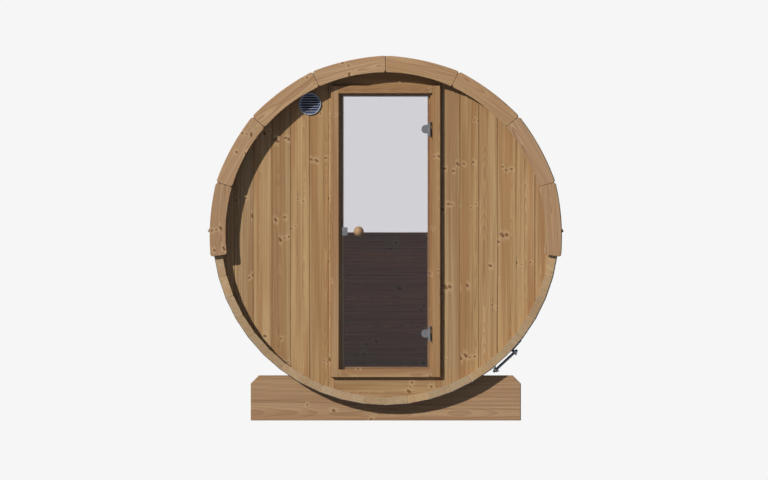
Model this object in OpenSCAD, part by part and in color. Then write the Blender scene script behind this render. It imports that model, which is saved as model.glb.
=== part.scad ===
// Barrel sauna with a glass door.
// The barrel lies along Y with its door end towards -Y. Z is up and z = 0 is under the cradles.

/* [Barrel] */
// Radius of the barrel, from its axis to the outer flats of the staves
barrel_r = 1003; // [820:1:1300]
// Length of the staves
barrel_len = 1800; // [1400:10:3000]
// Thickness of a stave
stave_t = 46; // [36:1:60]
// Number of staves, a multiple of the eight groups
stave_count = 48; // [40:8:64]
// Depth of the grooves that hold the end walls
groove_depth = 12; // [8:1:16]
// Play between a wall's rim and the bottom of its groove
groove_play = 0.6; // [0.3:0.1:2]
// Distance from the stave ends to the outer face of each end wall
wall_inset = 64; // [40:1:160]
// Thickness of the end walls
wall_t = 42; // [34:1:60]

/* [Cradles] */
// Wood between the ground and the lowest stave
cradle_under = 90; // [50:1:160]
// Height of a cradle
cradle_h = 263; // [220:1:340]
// Width of a cradle
cradle_w = 1570; // [1450:10:1800]
// Thickness of a cradle along the barrel
cradle_t = 58; // [40:1:100]
// Chamfer on the upper corners
cradle_chamfer = 48; // [10:1:80]
// Distance from the stave ends to each cradle
cradle_inset = 90; // [75:1:300]

/* [Fascia] */
// Boards in each fascia
fascia_boards = 8; // [6:2:12]
// Angle that one fascia board spans
fascia_step = 24.5; // [12:0.5:32]
// Thickness of a fascia board
fascia_t = 32; // [20:1:45]
// How far the boards reach inside the staves
fascia_in = 26; // [10:1:50]
// How far the boards' corners stand out beyond the staves
fascia_out = 25; // [20:1:50]
// How much lower a board's outer edge lies at its middle
fascia_flat = 5; // [0:0.5:9]
// Radius of a board's corners
fascia_corner = 14; // [5:1:20]
// Gap at each joint between boards
fascia_gap = 1.6; // [0.5:0.1:4]

/* [Roof covering] */
// Thickness of the covering
roof_t = 8; // [5:0.5:9]
// Space between the staves and the covering, which the straps pass through
roof_space = 2.8; // [2.6:0.1:3.2]
// How far the eave drip stands out from the covering
drip_out = 19; // [10:1:30]
// Height of the drip's back, up the covering
drip_back = 42; // [30:1:60]
// Height of the drip's edge over the bottom of the covering
drip_rise = 6; // [2:1:20]
// Drop of the drip's back below the bottom of the covering
drip_drop = 8; // [0:1:20]

/* [Straps] */
// Width of a strap along the barrel
strap_w = 40; // [25:1:60]
// Thickness of a strap
strap_t = 2.4; // [1:0.1:2.5]
// Distance from the stave ends to each strap
strap_inset = 28; // [5:1:60]
// Angle of the turnbuckle below the level, on the right of the door end
turnbuckle_angle = 47.1; // [40:0.1:52]
// Length of the threaded rod
rod_len = 188; // [150:1:260]
// Diameter of the threaded rod
rod_d = 15; // [8:1:16]
// Distance from the strap to the middle of the rod
rod_stand = 16.5; // [12:0.5:24]
// Distance between the two lugs
lug_spacing = 138; // [100:1:180]
// Height of a lug over the strap
lug_h = 38; // [30:1:60]
// Thickness of a lug
lug_t = 5; // [3:1:8]
// Size of the nuts across their flats
nut_size = 24; // [20:1:26]
// Length of the folded strap end beyond the upper lug
fold_len = 82; // [40:1:120]
// Thickness of the fold
fold_t = 4.5; // [2:0.5:6]

/* [Door frame] */
// Width over the frame
frame_w = 636; // [500:1:900]
// Width of the frame's front face
frame_face = 45; // [30:1:80]
// How far the frame stands out from the wall
frame_proud = 31; // [20:1:40]
// Distance from the frame's outer corners to the inside of the staves
frame_ring_gap = 51; // [35:1:150]
// Height of the frame's middle over the barrel's axis
frame_lift = 5.5; // [0:0.5:20]
// Cover of the frame's face over the wall's cut edge
frame_cover = 21; // [10:1:30]
// Width of the lip beside the door
lip_w = 13; // [8:1:25]
// Distance from the frame's front down to the lip
lip_step = 19; // [8:1:19]
// Reach of the stop past the edge of the door
stop_reach = 9; // [5:1:20]
// Reach of the head's stop past the top of the door
head_reach = 12.5; // [5:0.5:25]

/* [Door] */
// Thickness of the glass
glass_t = 8; // [6:1:12]
// Running gap round the door
door_gap = 6.6; // [6.5:0.1:10]
// Gap between the door and its stop
stop_gap = 5; // [5:0.5:8]
// Distance from the ends of the glass to the middle of each hinge
hinge_inset = 202; // [120:1:320]
// Height of a hinge
hinge_h = 85; // [60:1:120]
// Radius of the hinge knuckles
knuckle_r = 6.5; // [5:0.5:6.5]
// Radius of the hinge pin
pin_r = 3; // [2:0.5:4]
// Distance from the lip out to the middle of the hinge pin
pin_stand = 27; // [12:0.5:30]
// Running clearance on the hinge pin
pin_play = 0.05; // [0.02:0.01:0.1]
// Height of the clip that holds the glass
clip_h = 49; // [36:1:56]
// Reach of the clip over the glass
clip_w = 45; // [30:1:70]
// Thickness of each half of the clip
clip_t = 8; // [5:1:10]
// Diameter of the knob
knob_d = 58; // [40:1:70]
// Distance from the glass to the middle of the knob
knob_stand = 42; // [38:1:60]
// Diameter of the knob's neck
neck_d = 26; // [15:1:30]
// Distance from the glass's edge to the middle of the knob
knob_inset = 97; // [70:1:160]
// Width and height of the latch plate
latch_size = [32, 48]; // [20:1:60]
// Thickness of the latch plate
latch_t = 9; // [4:1:14]

/* [Vent] */
// Diameter of the vent's flange
vent_d = 131; // [90:1:160]
// Width of the flange's rim
vent_rim = 7; // [4:1:12]
// How far the vent stands out from the wall
vent_proud = 11; // [6:1:20]
// Diameter of the hole behind the vent
vent_hole_d = 100; // [70:1:115]
// Clearance round the vent's spigot
vent_play = 0.5; // [0.3:0.1:2]
// Distance from the vent to the inside of the staves
vent_edge = 24; // [10:1:80]
// Distance from the vent to the door frame
vent_gap = 56.8; // [20:0.1:120]
// Distance from one louvre to the next
louvre_pitch = 14.5; // [8:0.5:20]
// Shift of the louvres, up from the middle of the vent
louvre_shift = -2.5; // [-7:0.5:7]
// Tilt of the louvres
louvre_tilt = 38; // [20:1:60]

/* [Floor and rear window] */
// Height of the floor over the inside of the lowest staves
floor_h = 102; // [70:1:160]
// Thickness of the floor boards
floor_t = 28; // [20:1:40]
// Gap between the floor and the walls round it
floor_gap = 4; // [1:1:20]
// Thickness of a bearer
bearer_t = 45; // [30:1:70]
// Number of bearers
bearer_count = 3; // [2:1:6]
// Thickness of the rear window
window_t = 8; // [6:1:12]
// Depth of the window's seat in the top of the rear wall
window_seat = 12; // [8:1:20]

/* [Hidden] */
group_count = 8;
half_step = 180 / stave_count;
half_len = barrel_len / 2;
inner_r = barrel_r - stave_t;
rim_r = inner_r + groove_depth - groove_play;
axis_z = cradle_under + barrel_r / cos(half_step);
strap_r = barrel_r + strap_t;
roof_r = barrel_r + roof_space;
drip_play = 0.05;

wall_front = -half_len + wall_inset;
wall_back = wall_front + wall_t;
rear_in = -wall_back;
rear_out = -wall_front;
window_mid = (rear_in + rear_out) / 2;

frame_x = frame_w / 2;
frame_in_x = frame_x - frame_face;
lip_x = frame_in_x - lip_w;
glass_x = lip_x - door_gap;
stop_x = glass_x - stop_reach;
cut_x = frame_x - frame_cover;
frame_half_h = sqrt(pow(inner_r - frame_ring_gap, 2) - pow(frame_x, 2));
frame_z0 = axis_z + frame_lift - frame_half_h;
frame_z1 = axis_z + frame_lift + frame_half_h;
glass_z0 = frame_z0 + frame_face + door_gap;
glass_z1 = frame_z1 - frame_face - door_gap;
glass_mid = (glass_z0 + glass_z1) / 2;
glass_back = wall_front + glass_t;
stop_y = glass_back + stop_gap;
lip_y = wall_front - frame_proud + lip_step;

knuckle_gap = 0.5;
hinge_x = glass_x + 1;
hinge_y = lip_y - pin_stand;
leaf_t = 3;
leaf_reach = 18;
hinge_z = [glass_z0 + hinge_inset, glass_z1 - hinge_inset];
arm_h = clip_h - 10;

vent_r_at = inner_r - vent_edge - vent_d / 2;
vent_x = -(frame_x + vent_gap + vent_d / 2);
vent_z = axis_z + sqrt(pow(vent_r_at, 2) - pow(vent_x, 2));
spigot_t = 2;
louvre_t = 2;

floor_top = axis_z - inner_r + floor_h;
floor_y = rear_in - floor_gap;
floor_half_w = sqrt(pow(inner_r, 2) - pow(axis_z - floor_top + floor_t, 2)) - floor_gap;
bearer_margin = 20;
bearer_ends = 100;

// Distance from the axis to a corner of the many-sided ring whose flats lie at r
function corner_r(r) = r / cos(half_step);

// Corners of that ring from group edge a0 to a1, in whole staves
function ring_points(r, a0, a1) =
    [for (i = [0:round((a1 - a0) / (2 * half_step))])
        let (a = a0 + 2 * half_step * i) corner_r(r) * [cos(a), sin(a)]];

// Extrudes a shape of the XZ plane, centred on the barrel's axis, from y0 to y1
module along_y(y0, y1) {
    translate([0, y1, axis_z]) rotate([90, 0, 0]) linear_extrude(y1 - y0) children();
}

module disc_2d(r) {
    polygon([for (i = [0:stave_count - 1]) corner_r(r) * [cos(2 * half_step * i), sin(2 * half_step * i)]]);
}

module sector_2d(r_in, r_out, a0, a1) {
    outer = ring_points(r_out, a0, a1);
    inner = ring_points(r_in, a0, a1);
    polygon(concat(outer, [for (i = [len(inner) - 1:-1:0]) inner[i]]));
}

module box(x0, x1, y0, y1, z0, z1) {
    translate([x0, y0, z0]) cube([x1 - x0, y1 - y0, z1 - z0]);
}

// Staves --------------------------------------------------------------------

// A group of staves, numbered anticlockwise from the lowest joint. Those over the axis hold the
// thin rear window in place of the rear wall.
module staves(i) {
    a0 = -90 + (i - 1) * 360 / group_count;
    upper = i > group_count / 4 && i <= 3 * group_count / 4;
    rear_y0 = upper ? window_mid - window_t / 2 : rear_in;
    rear_y1 = upper ? window_mid + window_t / 2 : rear_out;
    color("burlywood") difference() {
        along_y(-half_len, half_len) sector_2d(inner_r, barrel_r, a0, a0 + 360 / group_count);
        along_y(wall_front, wall_back) disc_2d(inner_r + groove_depth);
        along_y(rear_y0, rear_y1) disc_2d(inner_r + groove_depth);
    }
}

// Fascias -------------------------------------------------------------------

// Outline of one fascia board about the direction a: two edges with rounded corners
function fascia_points(a) =
    let (
        r1 = barrel_r + fascia_out,
        r0 = inner_r - fascia_in,
        c = fascia_corner,
        // Half the angle of the board, less its share of the joint, and that of each corner's centre
        h1 = fascia_step / 2 - asin(fascia_gap / 2 / r1),
        h0 = fascia_step / 2 - asin(fascia_gap / 2 / r0),
        k1 = h1 - asin(c / (r1 - c)),
        k0 = h0 - asin(c / (r0 + c)),
        mid_r = r1 - fascia_flat,
        steps = 6,
        turns = 4,
        corner = function(r, k, from) [for (t = [0:turns])
            let (b = a + k + from + 90 * t / turns)
            r * [cos(a + k), sin(a + k)] + c * [cos(b), sin(b)]],
        outer = [for (t = [1 - steps:steps - 1])
            let (u = t / steps, r = mid_r + fascia_flat * u * u) r * [cos(a + u * k1), sin(a + u * k1)]],
        inner = [for (t = [1 - steps:steps - 1]) r0 * [cos(a - t / steps * k0), sin(a - t / steps * k0)]]
    )
    concat(outer, corner(r1 - c, k1, 0), corner(r0 + c, k0, 90), inner,
           corner(r0 + c, -k0, 180), corner(r1 - c, -k1, 270));

// Direction of board i, numbered from the left end over the top to the right end
function fascia_angle(i) = 90 + ((fascia_boards + 1) / 2 - i) * fascia_step;

module fascia_board(i, y0) {
    color("peru") along_y(y0, y0 + fascia_t) polygon(fascia_points(fascia_angle(i)));
}

module rear_fascia(first) {
    for (i = [first:first + fascia_boards / 2 - 1]) fascia_board(i, half_len);
}

// Roof covering -------------------------------------------------------------

module roof(a0) {
    color("dimgray") along_y(-half_len, half_len) sector_2d(roof_r, roof_r + roof_t, a0, a0 + 90);
}

// The drip's back lies along the lowest flat of the covering
module eave_drip(side) {
    foot = [corner_r(roof_r + roof_t) + drip_play, 0];
    top = foot + drip_back * [-sin(half_step), cos(half_step)];
    edge = foot + [drip_out, drip_rise];
    low = foot - [0, drip_drop];
    color("saddlebrown") along_y(-half_len, half_len)
        polygon([for (p = [low, edge, top, foot]) [side * p[0], p[1]]]);
}

// Straps --------------------------------------------------------------------

// Angle between the middle of the turnbuckle and each lug
lug_turn = asin(lug_spacing / 2 / (strap_r + rod_stand));

// The band is open between the two lugs, and runs on a little past each
strap_tail = 8;
open_turn = lug_turn - asin(strap_tail / strap_r);

module strap(y0) {
    reach = 2 * barrel_r;
    color("lightsteelblue") difference() {
        along_y(y0, y0 + strap_w) difference() {
            disc_2d(strap_r);
            disc_2d(barrel_r);
        }
        along_y(y0 - 1, y0 + strap_w + 1) polygon([[0, 0],
            for (s = [-1, 1])
                let (a = -turnbuckle_angle + s * open_turn) reach * [cos(a), sin(a)]]);
    }
}

// Threaded rod with its nuts, the two lugs that stand on the strap's ends, and the upper end's fold
module turnbuckle(y0) {
    y_mid = y0 + strap_w / 2;
    lug_w = strap_w - 10;
    nut_t = 10;
    lug_angle = lug_turn - turnbuckle_angle;
    fold_angle = lug_angle + asin(fold_len / strap_r);
    fold_w = strap_w - 4;
    reach = 2 * barrel_r;
    color("slategray") difference() {
        translate([0, y_mid, axis_z]) rotate([0, turnbuckle_angle, 0]) {
            translate([strap_r + rod_stand, 0, 0]) {
                cylinder(d = rod_d, h = rod_len, center = true);
                for (s = [-1, 1])
                    translate([0, 0, s * (lug_spacing + lug_t + nut_t) / 2])
                        cylinder(d = nut_size / cos(30), h = nut_t, center = true, $fn = 6);
            }
            for (s = [-1, 1]) rotate([0, s * lug_turn, 0])
                translate([strap_r - 5, -lug_w / 2, -lug_t / 2]) cube([lug_h + 5, lug_w, lug_t]);
        }
        along_y(y0 - 1, y0 + strap_w + 1) disc_2d(strap_r);
    }
    color("slategray") intersection() {
        along_y(y_mid - fold_w / 2, y_mid + fold_w / 2) difference() {
            disc_2d(strap_r + fold_t);
            disc_2d(strap_r);
        }
        along_y(y0 - 1, y0 + strap_w + 1) polygon([[0, 0],
            for (a = [lug_angle, fold_angle]) reach * [cos(a), sin(a)]]);
    }
}

// Cradles -------------------------------------------------------------------

module cradle(y0) {
    x = cradle_w / 2;
    c = cradle_chamfer;
    color("sandybrown") difference() {
        translate([0, y0 + cradle_t, 0]) rotate([90, 0, 0]) linear_extrude(cradle_t)
            polygon([[-x, 0], [x, 0], [x, cradle_h - c], [x - c, cradle_h],
                     [c - x, cradle_h], [-x, cradle_h - c]]);
        along_y(y0 - 1, y0 + cradle_t + 1) disc_2d(barrel_r);
    }
}

// Front wall ----------------------------------------------------------------

module front_wall_part(x0, x1, z0, z1) {
    color("tan") intersection() {
        along_y(wall_front, wall_back) disc_2d(rim_r);
        box(x0, x1, wall_front - 1, wall_back + 1, z0, z1);
    }
}

wall_z0 = axis_z - barrel_r;
wall_z1 = axis_z + barrel_r;

module front_wall_left() {
    difference() {
        front_wall_part(-barrel_r, -cut_x, wall_z0, wall_z1);
        translate([vent_x, wall_back + 1, vent_z]) rotate([90, 0, 0])
            cylinder(d = vent_hole_d, h = wall_t + 2);
    }
}

module front_wall_right() {
    front_wall_part(cut_x, barrel_r, wall_z0, wall_z1);
}

module front_wall_over_door() {
    front_wall_part(-cut_x, cut_x, frame_z1 - frame_cover, wall_z1);
}

module front_wall_under_door() {
    front_wall_part(-cut_x, cut_x, wall_z0, frame_z0 + frame_cover);
}

// Door frame ----------------------------------------------------------------

// A jamb: its face with the lip runs the frame's full height, its lining only the doorway's.
// The right one has a slot for each hinge leaf.
module frame_jamb(side) {
    color("chocolate") mirror([side < 0 ? 1 : 0, 0, 0]) difference() {
        union() {
            box(frame_in_x, frame_x, wall_front - frame_proud, wall_front, frame_z0, frame_z1);
            box(lip_x, frame_in_x, lip_y, wall_front, frame_z0, frame_z1);
            box(lip_x, cut_x, wall_front, wall_back, frame_z0 + frame_cover, frame_z1 - frame_cover);
            box(stop_x, lip_x, stop_y, wall_back, frame_z0 + frame_cover, frame_z1 - frame_cover);
        }
        if (side > 0)
            for (z = hinge_z)
                box(lip_x - 1, lip_x + leaf_t, lip_y - 1, lip_y + leaf_reach,
                    z - hinge_h / 2, z + hinge_h / 2);
    }
}

// A level member between the jambs. z is the frame's outer edge there and up points inwards.
module frame_rail(z, up, reach) {
    face_z = up * frame_face;
    cover_z = up * frame_cover;
    stop_z = up * (frame_face + door_gap + reach);
    color("chocolate") translate([0, 0, z]) {
        box(-frame_in_x, frame_in_x, wall_front - frame_proud, lip_y, min(0, face_z), max(0, face_z));
        box(-lip_x, lip_x, lip_y, wall_front, min(0, face_z), max(0, face_z));
        box(-lip_x, lip_x, wall_front, stop_y, min(cover_z, face_z), max(cover_z, face_z));
        box(-stop_x, stop_x, stop_y, wall_back, min(cover_z, stop_z), max(cover_z, stop_z));
    }
}

// Hinges --------------------------------------------------------------------

// Fixed half: a leaf let into the lip's side, with the knuckles over and under the door's one, and the pin
module hinge_leaf(z) {
    end_h = (hinge_h - clip_h) / 2 - knuckle_gap;
    x0 = lip_x - hinge_x;
    color("silver") translate([hinge_x, 0, z]) {
        box(x0, x0 + leaf_t, lip_y, lip_y + leaf_reach, -hinge_h / 2, hinge_h / 2);
        translate([0, hinge_y, -hinge_h / 2]) cylinder(r = pin_r, h = hinge_h);
        for (z0 = [-hinge_h / 2, hinge_h / 2 - end_h]) {
            translate([0, hinge_y, z0]) cylinder(r = knuckle_r, h = end_h);
            box(pin_r - 1, x0 + leaf_t, hinge_y, hinge_y + leaf_t, z0, z0 + end_h);
            box(x0, x0 + leaf_t, hinge_y, lip_y + 1, z0, z0 + end_h);
        }
    }
}

// A plate on the glass, round at the left and cut straight at x1
module clip_plate(x1, y) {
    round_r = clip_h / 2;
    x0 = glass_x - clip_w;
    intersection() {
        union() {
            translate([x0 + round_r, y + clip_t, 0]) rotate([90, 0, 0]) cylinder(r = round_r, h = clip_t);
            box(x0 + round_r, x1, y, y + clip_t, -round_r, round_r);
        }
        box(x0 - 1, x1, y - 1, y + clip_t + 1, -clip_h, clip_h);
    }
}

// Door half: two plates that clip the glass, and an arm to the middle knuckle
module door_clip(z) {
    round_r = clip_h / 2;
    color("silver") translate([0, 0, z]) difference() {
        union() {
            clip_plate(glass_x - 2, wall_front - clip_t);
            clip_plate(stop_x - door_gap, glass_back);
            box(hinge_x - knuckle_r - 8, hinge_x, hinge_y - pin_r, hinge_y + pin_r, -arm_h / 2, arm_h / 2);
            box(hinge_x - knuckle_r - 8, hinge_x - knuckle_r - 1, hinge_y - pin_r, wall_front - 1,
                -arm_h / 2, arm_h / 2);
            translate([hinge_x, hinge_y, -round_r]) cylinder(r = knuckle_r, h = clip_h);
        }
        translate([hinge_x, hinge_y, -clip_h]) cylinder(r = pin_r + pin_play, h = 2 * clip_h);
    }
}

// Door ----------------------------------------------------------------------

module door_glass() {
    color("lightblue", 0.4) box(-glass_x, glass_x, wall_front, glass_back, glass_z0, glass_z1);
}

module door_knob(y, dir) {
    color("peru") translate([knob_inset - glass_x, y, glass_mid]) rotate([dir * -90, 0, 0]) {
        cylinder(d = neck_d, h = knob_stand);
        difference() {
            translate([0, 0, knob_stand]) sphere(d = knob_d);
            translate([-knob_d, -knob_d, -knob_d]) cube([2 * knob_d, 2 * knob_d, knob_d]);
        }
    }
}

module door_latch() {
    color("silver") box(-glass_x, latch_size[0] - glass_x, wall_front - latch_t, wall_front,
        glass_mid - latch_size[1] / 2, glass_mid + latch_size[1] / 2);
}

// Vent ----------------------------------------------------------------------

module wall_vent() {
    r = vent_d / 2;
    hole = vent_hole_d / 2 - vent_play;
    color("slategray") translate([vent_x, wall_front, vent_z]) rotate([90, 0, 0]) {
        rotate_extrude() polygon([[hole, -wall_t], [hole, 0], [r, 0], [r, vent_proud - 2],
            [r - 2, vent_proud], [r - vent_rim, vent_proud], [r - vent_rim, 3],
            [hole - spigot_t, 3], [hole - spigot_t, -wall_t]]);
        intersection() {
            translate([0, 0, 1]) cylinder(r = r - vent_rim + 1, h = vent_proud - 2);
            for (i = [-4:3]) translate([0, (i + 0.5) * louvre_pitch + louvre_shift, vent_proud / 2])
                rotate([louvre_tilt, 0, 0]) cube([vent_d, louvre_t, 2 * vent_proud], center = true);
        }
    }
}

// Rear wall and window ------------------------------------------------------

module rear_wall() {
    color("tan") difference() {
        intersection() {
            along_y(rear_in, rear_out) disc_2d(rim_r);
            box(-barrel_r, barrel_r, rear_in - 1, rear_out + 1, wall_z0, axis_z);
        }
        box(-barrel_r, barrel_r, window_mid - window_t / 2, window_mid + window_t / 2,
            axis_z - window_seat, axis_z + 1);
    }
}

module rear_window() {
    color("lightblue", 0.4) intersection() {
        along_y(window_mid - window_t / 2, window_mid + window_t / 2) disc_2d(rim_r);
        box(-barrel_r, barrel_r, rear_in, rear_out, axis_z - window_seat, wall_z1);
    }
}

// Floor ---------------------------------------------------------------------

module floor_deck() {
    color("burlywood")
        box(-floor_half_w, floor_half_w, -floor_y, floor_y, floor_top - floor_t, floor_top);
}

// Bearers cut to the inside of the staves
module floor_bearers() {
    span = 2 * (floor_y - bearer_ends) - bearer_t;
    color("peru") intersection() {
        along_y(-half_len, half_len) disc_2d(inner_r);
        for (i = [0:bearer_count - 1])
            translate([0, (i / (bearer_count - 1) - 0.5) * span, 0])
                box(bearer_margin - floor_half_w, floor_half_w - bearer_margin,
                    -bearer_t / 2, bearer_t / 2, wall_z0, floor_top - floor_t);
    }
}

// Assembly ------------------------------------------------------------------

for (i = [1:group_count])
    staves(i);
for (i = [1:fascia_boards])
    fascia_board(i, -half_len - fascia_t);
rear_fascia(1);  // rear_fascia_left
rear_fascia(fascia_boards / 2 + 1);  // rear_fascia_right
roof(90);  // roof_left
roof(0);  // roof_right
eave_drip(-1);  // eave_drip_left
eave_drip(1);  // eave_drip_right
strap(strap_inset - half_len);  // front_strap
strap(half_len - strap_inset - strap_w);  // rear_strap
turnbuckle(strap_inset - half_len);  // front_turnbuckle
turnbuckle(half_len - strap_inset - strap_w);  // rear_turnbuckle
cradle(cradle_inset - half_len);  // front_cradle
cradle(half_len - cradle_inset - cradle_t);  // rear_cradle
front_wall_left();
front_wall_right();
front_wall_over_door();
front_wall_under_door();
frame_jamb(-1);  // frame_jamb_left
frame_jamb(1);  // frame_jamb_right
frame_rail(frame_z1, -1, head_reach);  // frame_head
frame_rail(frame_z0, 1, stop_reach);  // frame_sill
wall_vent();
hinge_leaf(hinge_z[1]);  // hinge_leaf_upper
hinge_leaf(hinge_z[0]);  // hinge_leaf_lower
rear_wall();
rear_window();
floor_deck();
floor_bearers();
door_glass();
door_clip(hinge_z[1]);  // door_clip_upper
door_clip(hinge_z[0]);  // door_clip_lower
door_knob(wall_front, -1);  // door_knob_outer
door_knob(glass_back, 1);  // door_knob_inner
door_latch();
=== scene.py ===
"""Looks for the barrel sauna: boards, fittings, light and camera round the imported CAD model."""
import math

import bmesh
import bpy
import numpy as np
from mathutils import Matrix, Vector


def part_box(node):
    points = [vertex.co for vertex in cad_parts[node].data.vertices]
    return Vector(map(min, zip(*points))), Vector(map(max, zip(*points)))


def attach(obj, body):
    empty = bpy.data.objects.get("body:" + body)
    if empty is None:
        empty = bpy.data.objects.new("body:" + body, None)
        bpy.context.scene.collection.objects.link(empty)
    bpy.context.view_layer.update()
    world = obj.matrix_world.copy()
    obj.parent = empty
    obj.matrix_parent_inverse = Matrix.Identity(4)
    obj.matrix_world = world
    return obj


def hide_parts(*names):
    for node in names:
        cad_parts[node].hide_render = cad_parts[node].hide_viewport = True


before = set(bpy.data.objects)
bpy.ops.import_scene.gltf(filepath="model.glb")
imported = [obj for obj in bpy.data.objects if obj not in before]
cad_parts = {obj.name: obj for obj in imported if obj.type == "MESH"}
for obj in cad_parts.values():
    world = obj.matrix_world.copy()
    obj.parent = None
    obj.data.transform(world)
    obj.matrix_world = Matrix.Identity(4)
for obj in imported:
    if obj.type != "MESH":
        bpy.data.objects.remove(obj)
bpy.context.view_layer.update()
rng = np.random.default_rng(2107)

X, Y, Z = Vector((1, 0, 0)), Vector((0, 1, 0)), Vector((0, 0, 1))
MM = 0.001
WELD, SLIVER, ON_PLANE, ON_AXIS = 2e-6, 2e-5, 1e-7, 1e-9  # distances in metres taken as none
FLAT_ANGLE = math.radians(0.5)


# ---------------------------------------------------------------- places read from the frame
def low(node):
    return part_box(node)[0]


def high(node):
    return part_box(node)[1]


STAVES = 48
STEP = 2 * math.pi / STAVES
CORNER = math.cos(STEP / 2)  # the barrel's radius to a flat, as a share of that to a corner
ring_high = high("staves_2")
half_len = ring_high.y
barrel_corner = ring_high.x
axis_z = low("staves_1").z + barrel_corner
barrel_flat = barrel_corner * CORNER
rim_flat = -low("front_wall_left").x * CORNER
wall_front, wall_back = low("front_wall_right").y, high("front_wall_right").y
AXIS = Vector((0, 0, axis_z))


def radial(angle):
    """Unit vector away from the barrel's axis, angle from +X towards +Z."""
    return Vector((math.cos(angle), 0, math.sin(angle)))


def around(angle):
    """Unit vector along the barrel's outside at that angle."""
    return Vector((-math.sin(angle), 0, math.cos(angle)))


# ---------------------------------------------------------------- mesh tools
def cad_solids(node):
    """Each closed solid of a CAD node as a bmesh of its own, with its flat faces whole."""
    whole = bmesh.new()
    whole.from_mesh(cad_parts[node].data)
    bmesh.ops.remove_doubles(whole, verts=whole.verts, dist=WELD)
    whole.verts.index_update()
    left, groups = set(v.index for v in whole.verts), []
    whole.verts.ensure_lookup_table()
    while left:
        todo, found = [min(left)], set()
        while todo:
            i = todo.pop()
            if i in found:
                continue
            found.add(i)
            todo += [e.other_vert(whole.verts[i]).index for e in whole.verts[i].link_edges]
        left -= found
        groups.append(found)
    solids = []
    for found in groups:
        part = whole.copy()
        part.verts.ensure_lookup_table()
        bmesh.ops.delete(part, geom=[v for v in part.verts if v.index not in found], context="VERTS")
        solids.append(part)
    whole.free()
    return solids


def tidy(bm):
    """Drops tiny edges, joins coplanar faces and points every face outwards."""
    bmesh.ops.remove_doubles(bm, verts=bm.verts, dist=SLIVER)
    bmesh.ops.dissolve_limit(
        bm, angle_limit=FLAT_ANGLE, verts=bm.verts, edges=bm.edges, use_dissolve_boundaries=False
    )
    bmesh.ops.recalc_face_normals(bm, faces=bm.faces)
    return bm


def trim(bm, point, normal, above):
    """Keeps what lies above (or below) a plane, and closes the cut."""
    sides = [(v.co - point).dot(normal) for v in bm.verts]
    if (above and min(sides) > -ON_PLANE) or (not above and max(sides) < ON_PLANE):
        return bm
    bmesh.ops.bisect_plane(
        bm, geom=bm.verts[:] + bm.edges[:] + bm.faces[:], dist=ON_PLANE, plane_co=point,
        plane_no=normal, clear_inner=above, clear_outer=not above,
    )
    edges = [e for e in bm.edges if e.is_boundary]
    if edges:
        bmesh.ops.holes_fill(bm, edges=edges, sides=0)
    return bm


def cut_between(bm, planes, gap=0.0):
    """bm cut by planes in order into closed boards, with a gap left at each cut."""
    out = []
    for i in range(len(planes) + 1):
        part = bm.copy()
        if i > 0:
            point, normal = planes[i - 1]
            trim(part, point + normal * gap / 2, normal, True)
        if i < len(planes):
            point, normal = planes[i]
            trim(part, point - normal * gap / 2, normal, False)
        if len(part.faces) > 3:
            out.append(part)
    return out


def ease(bm, width, segments=1, angle=28, along=None, across=None, test=None):
    """Bevels the convex edges sharper than angle in degrees: all, only those along a direction, only
    those not along one, or only those that pass a test."""
    edges = []
    for e in bm.edges:
        if len(e.link_faces) != 2 or not e.is_convex or e.calc_face_angle() < math.radians(angle):
            continue
        d = (e.verts[1].co - e.verts[0].co).normalized()
        if along is not None and abs(d.dot(along)) < 0.99:
            continue
        if across is not None and abs(d.dot(across)) > 0.99:
            continue
        if test and not test(e):
            continue
        edges.append(e)
    if edges:
        bmesh.ops.bevel(
            bm, geom=edges, offset=width, offset_type="OFFSET", segments=segments, profile=0.5,
            affect="EDGES", clamp_overlap=True,
        )
    return bm


def middle_of(bm):
    """The mean of a shape's vertices."""
    return sum((v.co for v in bm.verts), Vector()) / len(bm.verts)


def circle(radius, count):
    """(a, b) pairs evenly round a circle."""
    angles = [2 * math.pi * k / count for k in range(count)]
    return [(radius * math.cos(a), radius * math.sin(a)) for a in angles]


def skin(bm, rings):
    """Closes a solid: quads from each ring of vertices to the next, and a cap at either end."""
    for a, b in zip(rings, rings[1:]):
        for k in range(len(a)):
            j = (k + 1) % len(a)
            bm.faces.new((a[k], a[j], b[j], b[k]))
    bm.faces.new(rings[0][::-1])
    bm.faces.new(rings[-1])
    bmesh.ops.recalc_face_normals(bm, faces=bm.faces)
    return bm


def prism(outline, along, start, end, place):
    """A closed prism that runs along a direction. The outline is (a, b) pairs, and place(a, b) a point."""
    bm = bmesh.new()
    return skin(bm, [[bm.verts.new(place(a, b) + along * h) for a, b in outline] for h in (start, end)])


def lathe(profile, origin, axis, side, turns=48):
    """A turned shape: profile is (radius, height) pairs from one pole or rim to the other, closed."""
    bm = bmesh.new()
    other = axis.cross(side)
    rings = []
    for r, h in profile:
        round_axis = circle(1.0, turns) if r > ON_AXIS else [(0, 0)]
        rings.append([bm.verts.new(origin + axis * h + (side * a + other * b) * r) for a, b in round_axis])
    closed = len(rings[0]) > 1 and len(rings[-1]) > 1
    pairs = list(zip(rings, rings[1:])) + ([(rings[-1], rings[0])] if closed else [])
    for a, b in pairs:
        for k in range(turns):
            j = (k + 1) % turns
            if len(a) == 1:
                bm.faces.new((a[0], b[j], b[k]))
            elif len(b) == 1:
                bm.faces.new((a[k], a[j], b[0]))
            else:
                bm.faces.new((a[k], a[j], b[j], b[k]))
    bmesh.ops.recalc_face_normals(bm, faces=bm.faces)
    return bm


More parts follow.
